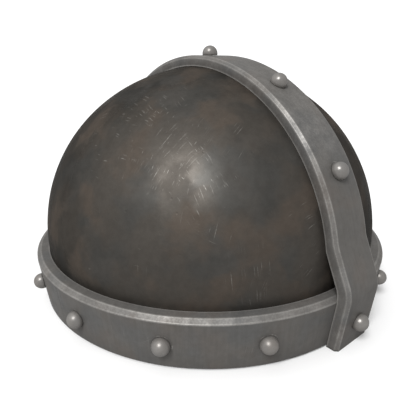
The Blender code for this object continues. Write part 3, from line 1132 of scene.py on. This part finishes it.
@dataclass
class CrestBand:
    """The strap over the dome, chamfered on both sides and stepped out over the brow band."""

    dome: Dome
    brow: BrowBand
    width: float = CREST_WIDTH
    thickness: float = 0.0058
    chamfer: float = 0.0017
    edge_soft: float = 0.00030
    step_start_above_brow: float = 0.0275
    step_end_above_brow: float = 0.0040
    bend_radius: float = 0.0200
    foot_drop: float = 0.0012
    arch_steps: int = 120
    bend_steps: int = 14
    foot_steps: int = 26
    least_step: float = 0.0003
    depth_tries: int = 240
    sway: float = 0.00010
    waves: tuple[Pair, ...] = ((95, 0.0), (210, 1.3), (37, 0.4))
    rivet_degrees: tuple[float, ...] = (60, 30, 0, -30, -60)
    top_wear_and_sheen: float = 0.44
    top_heights: Pair = (0.060, 0.112)
    side_shade: Pair = (0.14, 0.60)
    shade_heights: Pair = (0.025, 0.070)

    def bend(self, before: Array, corner: Array, after: Array) -> Array:
        """Rounds a corner with an arc of the bend's radius.

        The arc's centre lies on the corner's bisector at radius / sin(half angle), and the arc
        goes from one tangent point, at radius / tan(half angle), to the other.

        Args:
            before: a point on the way in.
            corner: the corner.
            after: a point on the way out.

        Returns:
            Points of the arc.
        """
        way_in, way_out = unit(before - corner), unit(after - corner)
        half = math.acos(float(np.clip(way_in @ way_out, -1.0, 1.0))) / 2
        centre = corner + unit(way_in + way_out) * (self.bend_radius / math.sin(half))
        reach = self.bend_radius / math.tan(half)
        first, last = corner + way_in * reach - centre, corner + way_out * reach - centre
        start = math.atan2(first[1], first[0])
        sweep = math.atan2(last[1], last[0]) - start
        sweep = (sweep + math.pi) % math.tau - math.pi
        angle = start + sweep * np.linspace(0.0, 1.0, self.bend_steps + 1)
        return centre + self.bend_radius * np.stack([np.cos(angle), np.sin(angle)], axis=-1)

    def line(self) -> Array:
        """The outer face's side line: the arch, two bends and a foot, at the front and the back.

        Returns:
            (along Y, height) points from the front foot over the top to the back foot.
        """
        start_height = self.brow.height + self.step_start_above_brow
        cosine = (start_height - self.dome.widest_height) / (self.dome.rise + self.thickness)
        angle = np.linspace(0.0, math.acos(cosine), self.arch_steps + 1)
        arch = self.dome.arch_point(angle, self.thickness)
        clear = FIT_GAP + self.thickness
        step_foot, _ = self.brow.face_point(self.brow.height + self.step_end_above_brow, clear)
        end, _ = self.brow.face_point(-self.foot_drop, clear)
        end = np.array([end[0], -self.foot_drop])
        upper = self.bend(arch[-4], arch[-1], step_foot)
        lower = self.bend(arch[-1], step_foot, end)
        arch = arch[arch[:, 1] > upper[0, 1] + self.least_step]
        share = np.linspace(0.0, 1.0, self.foot_steps + 1)[1:, None]
        foot = lower[-1] * (1 - share) + end * share
        half = np.concatenate([arch, upper, lower, foot])
        return np.concatenate([half[:0:-1] * (-1, 1), half])

    def clear_radius(self, height: Array) -> Array:
        """How far the dome and the brow band reach at each height, grown by a hair's breadth.

        Args:
            height: heights above the brow band's lower edge.

        Returns:
            The radii.
        """
        dome, brow = self.dome, self.brow
        share = np.clip((height - dome.widest_height) / (dome.rise + TOUCH_GAP), 0, 1)
        arch = (dome.radius + TOUCH_GAP) * np.sqrt(1 - share**2)
        arch = np.where(height < dome.widest_height, dome.radius_at(height), arch)
        slope = (brow.outer_top - brow.outer_rim) / brow.chamfer_foot
        below = 0.01
        heights = [-below, brow.chamfer_foot, brow.height + TOUCH_GAP]
        top = brow.outer_top
        radii = [brow.outer_rim - below * slope, top, top - brow.chamfer_width]
        ring = np.interp(height, heights, np.array(radii) + TOUCH_GAP)
        return np.maximum(arch, np.where(height > heights[-1], 0.0, ring))

    def depth(self, line: Array, normal: Array, across: Array) -> Array:
        """How deep the strap is at each place of its line and across its width.

        From the outer face a ray goes in along the normal, and the strap ends where the ray
        meets the dome or the brow band, or at the strap's own depth.

        Args:
            line: the side line, shaped (rows, 2).
            normal: its outward normals, shaped (rows, 2).
            across: places across the strap, shaped (columns,).

        Returns:
            Depths shaped (rows, columns).
        """
        dip = self.dome.radius - math.sqrt(self.dome.radius**2 - (self.width / 2) ** 2)
        tries = np.linspace(0.0, self.thickness + dip + 2 * FIT_GAP, self.depth_tries)
        ray = line[:, None, :] - normal[:, None, :] * tries[None, :, None]
        reach = self.clear_radius(ray[..., 1])[:, None, :]
        met = np.hypot(ray[:, None, :, 0], across[None, :, None]) < reach
        met[..., -1] = True
        return tries[met.argmax(axis=-1)]

    def corners(self) -> list[Corner]:
        """The section's corners as (across, depth), from the outer face's edge round."""
        half, soft, deep = self.width / 2, self.edge_soft, self.thickness
        return [
            Corner(-half + self.chamfer, 0.0, soft, 0.56, 0.06),
            Corner(half - self.chamfer, 0.0, soft, 0.56, 0.40),
            Corner(half, self.chamfer, soft, 0.52, 0.36),
            # The two deep corners paint a highlight line along the strap's base, against the dome.
            Corner(half, deep, soft, 0.90, 0.0),
            Corner(-half, deep, soft, 0.90, 0.36),
            Corner(-half, self.chamfer, soft, 0.52, 0.40),
        ]

    def rivet_distances(self, line: Array, walked: Array) -> Array:
        """How far along the line each rivet of the strap and of its feet sits.

        Args:
            line: the side line.
            walked: the distance along it.

        Returns:
            The distances, from front to back.
        """
        angles = np.radians(self.rivet_degrees)
        arch = self.dome.arch_point(np.abs(angles), self.thickness)
        arch[:, 0] *= -np.sign(angles)
        foot, _ = self.brow.face_point(self.brow.rivet_height, FIT_GAP + self.thickness)
        places = np.concatenate([[foot * (-1, 1)], arch, [foot]])
        return walked[np.linalg.norm(line[:, None] - places[None], axis=-1).argmin(axis=0)]

    def rubs_and_painted_light(self, height: Array, nominal: Array, wear_and_sheen: Array) -> dict[str, Array]:
        """Painted highlight and painted shade: the outer face is painted brighter over the top, and
        the sides darker towards the dome, more so higher up.

        Args:
            height: each point's height, shaped (rows, columns).
            nominal: each section point's depth before it is fitted.
            wear_and_sheen: each section point's own wear.

        Returns:
            Values from 0 to 1 by attribute name.
        """
        top = smooth_share(height, *self.top_heights) * (nominal < 0.5 * self.chamfer)
        low, high = self.side_shade
        side = smooth_share(nominal, self.chamfer, self.thickness)
        painted_shade = side * (low + (high - low) * smooth_share(height, *self.shade_heights))
        return {WEAR_AND_SHEEN: np.maximum(wear_and_sheen, self.top_wear_and_sheen * top), PAINTED_SHADE: painted_shade}

    def build(self) -> Mesh:
        """The strap: its section carried along the side line, with the underside fitted.

        A point at (across, d) of the section lies at the line's point less d times its normal.
        Below the chamfer the section is stretched to the depth found at that place. The flat
        coordinates run round the section and along the line.

        Returns:
            The mesh.
        """
        line = self.line()
        tangent = unit(np.gradient(line, axis=0))
        normal = np.stack([-tangent[:, 1], tangent[:, 0]], axis=-1)
        section, wear_and_sheen = rounded_outline(self.corners())
        across, nominal = section[:, 0], section[:, 1]
        deep = self.depth(line, normal, across)
        stretch = (deep - self.chamfer) / (self.thickness - self.chamfer)
        lower = self.chamfer + (nominal - self.chamfer) * stretch
        depth = np.where(nominal > self.chamfer, lower, nominal)
        walked = outline_distance(line)
        sway = self.sway * swaying(walked, self.waves)
        depth = depth + sway[:, None] * (nominal < 0.5 * self.thickness)
        flat = line[:, None, :] - normal[:, None, :] * depth[..., None]
        for end in (0, -1):
            past = (-self.foot_drop - flat[end, :, 1]) / tangent[end, 1]
            flat[end] += past[:, None] * tangent[end]
        wide = np.broadcast_to(across, depth.shape)
        grid = np.stack([wide, flat[..., 0], flat[..., 1] + LIFT], axis=-1)

        around = outline_distance(section) + across[0]
        around = np.append(around, around[-1] + self.least_step)
        surface = face_corners(np.stack(np.broadcast_arrays(around, walked[:, None]), axis=-1))
        near = surface.copy()
        rivets = self.rivet_distances(line, walked)
        middle = (walked[:-1] + walked[1:]) / 2
        closest = rivets[np.abs(middle[:, None] - rivets).argmin(axis=1)]
        near[..., 1] -= closest[:, None, None]
        values = self.rubs_and_painted_light(flat[..., 1], nominal, wear_and_sheen)
        maps = {SURFACE: surface, NEAR_RIVET: near}
        return closed_mesh("forged_crest_band", grid, Ends.CAPS, values, maps)

    def dress(self, material: Material) -> None:
        """Builds the crest band and places it with its finish."""
        place_piece(self.build(), material, "crest_band")


class RivetRow(Enum):
    """The rows of rivets, by the name of their solids."""

    BROW = "rivet_brow"
    FOOT = "rivet_foot"
    CREST = "rivet_crest"


@dataclass
class Rivets:
    """All the rivets: ball heads outside, flat hammered tails inside."""

    dome: Dome
    brow: BrowBand
    crest: CrestBand
    head_radius: float = 0.0049
    head_lift: float = 0.0010
    head_pull: Pair = (0.002, 0.020)
    head_wave: float = 0.22
    lean: Pair = (0.3, 1.0)
    shank_radius: float = 0.0016
    tail_radius: float = 0.0034
    tail_height: float = 0.0014
    tail_seat: float = 0.0007
    tail_round: float = 0.0004
    tail_edge: float = 0.0001
    columns: int = 40
    head_rows: int = 20
    top_wear_and_sheen: float = 0.34
    top_heights: Pair = (0.35, 0.95)
    foot_shade: float = 0.25
    foot_height: float = 0.25
    seed: int = 5

    def places(self, row: RivetRow) -> list[tuple[float, Array, Array]]:
        """Where a row's rivets stand.

        Args:
            row: which row.

        Returns:
            For each rivet its azimuth, its (radius, height) on the face, and the normal there.
        """
        if row is RivetRow.CREST:
            found = []
            for degrees in self.crest.rivet_degrees:
                turn = np.array(math.radians(abs(degrees)))
                face = self.dome.arch_point(turn, self.crest.thickness)
                normal = unit(face - self.dome.arch_point(turn, 0.0))
                found.append((0.0 if degrees >= 0 else math.pi, face, normal))
            return found
        foot = row is RivetRow.FOOT
        offset = FIT_GAP + self.crest.thickness if foot else 0.0
        face, normal = self.brow.face_point(self.brow.rivet_height, offset)
        count = self.brow.rivet_places
        numbers = [number for number in range(count) if (number % (count // 2) == 0) == foot]
        return [(math.tau * number / count, face, normal) for number in numbers]

    def stack(self, row: RivetRow) -> float:
        """The thickness that a row's rivets clamp.

        Args:
            row: which row.

        Returns:
            The thickness of the dome and of the bands over it, along the rivet.
        """
        if row is RivetRow.CREST:
            return self.crest.thickness + self.dome.wall
        face, normal = self.brow.face_point(self.brow.rivet_height, 0.0)
        skirt = float(self.dome.radius_at(self.brow.rivet_height))
        plate = (face[0] - skirt) / normal[0] + self.dome.wall
        return plate + (FIT_GAP + self.crest.thickness if row is RivetRow.FOOT else 0.0)

    def outline(self, stack: float) -> Array:
        """A rivet's outline as (radius, height above the face).

        The head is a sphere: at angle t from its top the place is (r sin t, lift + r cos t),
        down to where it meets the face. The shank and the tail are straight runs.

        Args:
            stack: the thickness that it clamps.

        Returns:
            The points from the head's top to the tail's end.
        """
        last = math.acos(-self.head_lift / self.head_radius)
        angle = np.linspace(0.0, last, self.head_rows)
        head = self.head_radius * np.stack([np.sin(angle), np.cos(angle)], axis=-1)
        seat = -stack - self.tail_seat
        end = seat - self.tail_height
        soft, edge, wide = self.tail_round, self.tail_edge, self.tail_radius
        tail = [
            (self.shank_radius, 0.0),
            (self.shank_radius, seat),
            (wide - edge, seat),
            (wide, seat - edge),
            (wide, end + soft),
            (wide - soft * 0.3, end + soft * 0.3),
            (wide - soft, end),
            (wide * 0.5, end),
            (0.0, end),
        ]
        return np.concatenate([head + (0.0, self.head_lift), tail])

    def build(self, name: str, row: RivetRow, place: tuple, random: np.random.Generator) -> Mesh:
        """One rivet, with a head that is a little uneven.

        The head is pulled in by up to 2 percent along a slow wave round its axis and down it.

        Args:
            name: the mesh's name.
            row: which row it is in.
            place: its azimuth, face point and normal.
            random: the source of its unevenness.

        Returns:
            The mesh.
        """
        azimuth, face, normal = place
        outline = self.outline(self.stack(row))
        grid = turned(outline, self.columns)
        around = ring_angles(self.columns)
        lean, phase = random.uniform(*self.lean), random.uniform(0.0, math.tau, 3)
        up = outline[:, 1:] / (self.head_radius + self.head_lift)
        wave = np.sin(2 * around + phase[0]) + np.sin(3 * around + phase[1] + 3 * up)
        dent = 0.5 + self.head_wave * wave * np.clip(1 - up, 0.0, 1.0)
        least, most = self.head_pull
        grid = grid * (1.0 - (least + most * lean * dent) * (up > 0))[..., None]

        out = np.array([math.sin(azimuth), -math.cos(azimuth), 0.0])
        axis = out * normal[0] + np.array([0.0, 0.0, normal[1]])
        side = np.cross([0.0, 0.0, 1.0], out)
        base = out * face[0] + np.array([0.0, 0.0, face[1] + LIFT])
        turn = np.stack([side, np.cross(axis, side), axis])
        # Painted shade at the foot of the head, where it meets the plate.
        base_shade = self.foot_shade * (1 - smooth_share(up, 0.0, self.foot_height))
        values = {WEAR_AND_SHEEN: self.top_wear_and_sheen * smooth_share(up, *self.top_heights), PAINTED_SHADE: base_shade}
        around = self.head_radius * ring_angles(self.columns, closed=True) + phase[2]
        flat = np.broadcast_arrays(around, outline_distance(outline)[:, None])
        maps = {SURFACE: face_corners(np.stack(flat, axis=-1))}
        return closed_mesh(name, base + grid @ turn, Ends.POLES, values, maps)

    def dress(self, row: RivetRow, material: Material) -> None:
        """Builds a row of rivets and places them with their finish.

        Args:
            row: which row.
            material: the finish.
        """
        random = np.random.default_rng([self.seed, len(row.value)])
        for number, place in enumerate(self.places(row), start=1):
            node = f"{row.value}_{number:02d}"
            mesh = self.build(f"ball_{node}", row, place, random)
            place_piece(mesh, material, node)


# Surroundings


@dataclass
class Studio:
    """A pale floor, soft light and the camera."""

    target_height: float = 0.04285
    distance: float = 0.29777
    azimuth: float = math.radians(-39.8)
    elevation: float = math.radians(20.34)
    lens: float = 34.68
    sensor: float = 36.0
    nearest: float = 0.01
    key_way: tuple[float, float, float] = (-0.235, 0.49, 0.80)
    key_light: float = 2.35
    key_spread: float = math.radians(22)
    fill_way: tuple[float, float, float] = (-0.65, 0.72, 0.28)
    fill_light: float = 0.52
    fill_spread: float = math.radians(80)
    sky_light: float = 0.56
    floor_shade: float = 0.97
    floor_bounce: float = 0.55
    floor_radius: float = 30.0
    floor_steps: int = 96

    def way_out(self) -> Vector:
        """The direction from the helmet to the camera."""
        level = math.cos(self.elevation)
        side, front = math.sin(self.azimuth), -math.cos(self.azimuth)
        return Vector((side * level, front * level, math.sin(self.elevation)))

    def hang(self, name: str, data: bpy.types.ID, way: Vector) -> bpy.types.Object:
        """Puts a light or the camera in the scene, looking against a direction.

        Args:
            name: its name.
            data: the light or the camera.
            way: the direction that it looks from.

        Returns:
            The object.
        """
        made = bpy.data.objects.new(name, data)
        made.rotation_euler = way.to_track_quat("Z", "Y").to_euler()
        bpy.context.scene.collection.objects.link(made)
        return made

    def place_camera(self) -> None:
        """Puts the camera at the picture's angle and makes it the scene's own."""
        data = bpy.data.cameras.new("camera")
        data.lens = self.lens
        data.sensor_width = self.sensor
        data.clip_start = self.nearest
        camera = self.hang("camera", data, self.way_out())
        camera.location = Vector((0.0, 0.0, self.target_height)) + self.way_out() * self.distance
        bpy.context.scene.camera = camera

    def add_lights(self) -> float:
        """Hangs the key light above the camera and a wide one on its left.

        A lamp gives a level face its light times the sine of its height.

        Returns:
            What both give a level face, in watts a square metre.
        """
        turn = self.way_out().to_track_quat("Z", "Y")
        level = 0.0
        for name, way, light, spread in (
            ("key", self.key_way, self.key_light, self.key_spread),
            ("fill", self.fill_way, self.fill_light, self.fill_spread),
        ):
            direction = turn @ Vector(way).normalized()
            data = bpy.data.lights.new(name, "SUN")
            data.energy = light
            data.angle = spread
            self.hang(name, data, direction)
            level += light * direction.z
        return level

    def add_sky(self, level: float) -> None:
        """An even sky, which the camera sees as bright as the open floor.

        The floor gives back its shade times what reaches it, which is the sky's light plus
        the lamps' light divided by pi.

        Args:
            level: what the lamps give a level face, in watts a square metre.
        """
        floor_brightness = self.floor_shade * (self.sky_light + level / math.pi)
        LOG.info("floor brightness: %.3f", floor_brightness)
        world = bpy.data.worlds.new("studio")
        world.use_nodes = True
        bpy.context.scene.world = world
        graph = Graph(world.node_tree)
        background = world.node_tree.nodes["Background"]
        graph.feed(background.inputs["Color"], (1.0, 1.0, 1.0))
        seen = graph.node("ShaderNodeLightPath", {}).outputs["Is Camera Ray"]
        strength = graph.rise(seen, 0.0, 1.0, self.sky_light, floor_brightness)
        graph.feed(background.inputs["Strength"], strength)

    def add_floor(self) -> None:
        """A wide round pale floor, which throws little light back under the helmet."""
        angle = ring_angles(self.floor_steps)
        ring = np.stack([np.cos(angle), np.sin(angle), np.zeros(self.floor_steps)], axis=-1)
        mesh = bpy.data.meshes.new("floor")
        points = (self.floor_radius * ring).tolist()
        mesh.from_pydata(points, [], [list(range(self.floor_steps))])
        material = bpy.data.materials.new("pale_floor")
        material.use_nodes = True
        graph = Graph(material.node_tree)
        seen = graph.node("ShaderNodeLightPath", {}).outputs["Is Camera Ray"]
        shade = graph.mix(seen, (self.floor_bounce,) * 3, (self.floor_shade,) * 3)
        matt = graph.node("ShaderNodeBsdfDiffuse", {"Color": shade})
        output = material.node_tree.nodes["Material Output"]
        graph.feed(output.inputs["Surface"], matt.outputs[0])
        mesh.materials.append(material)
        floor = bpy.data.objects.new("floor", mesh)
        bpy.context.scene.collection.objects.link(floor)


def main() -> None:
    """Builds the helmet's sub-assemblies, then the studio round them."""
    logging.basicConfig(level=logging.INFO, format="%(message)s")
    LOG.info("packed model: %d solids", len(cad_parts))
    effects = Effects()
    dark_iron = DARK_IRON.material(effects)
    band_iron = BAND_IRON.material(effects)
    rivet_iron = RIVET_IRON.material(effects)

    dome = Dome()
    brow = BrowBand(dome)
    crest = CrestBand(dome, brow)
    rivets = Rivets(dome, brow, crest)
    dome.dress(dark_iron)
    brow.dress(band_iron)
    crest.dress(band_iron)
    for row in RivetRow:
        rivets.dress(row, rivet_iron)

    studio = Studio()
    studio.place_camera()
    studio.add_sky(studio.add_lights())
    studio.add_floor()
    bpy.context.scene.view_settings.view_transform = "Standard"


if __name__ == "__main__":
    main()
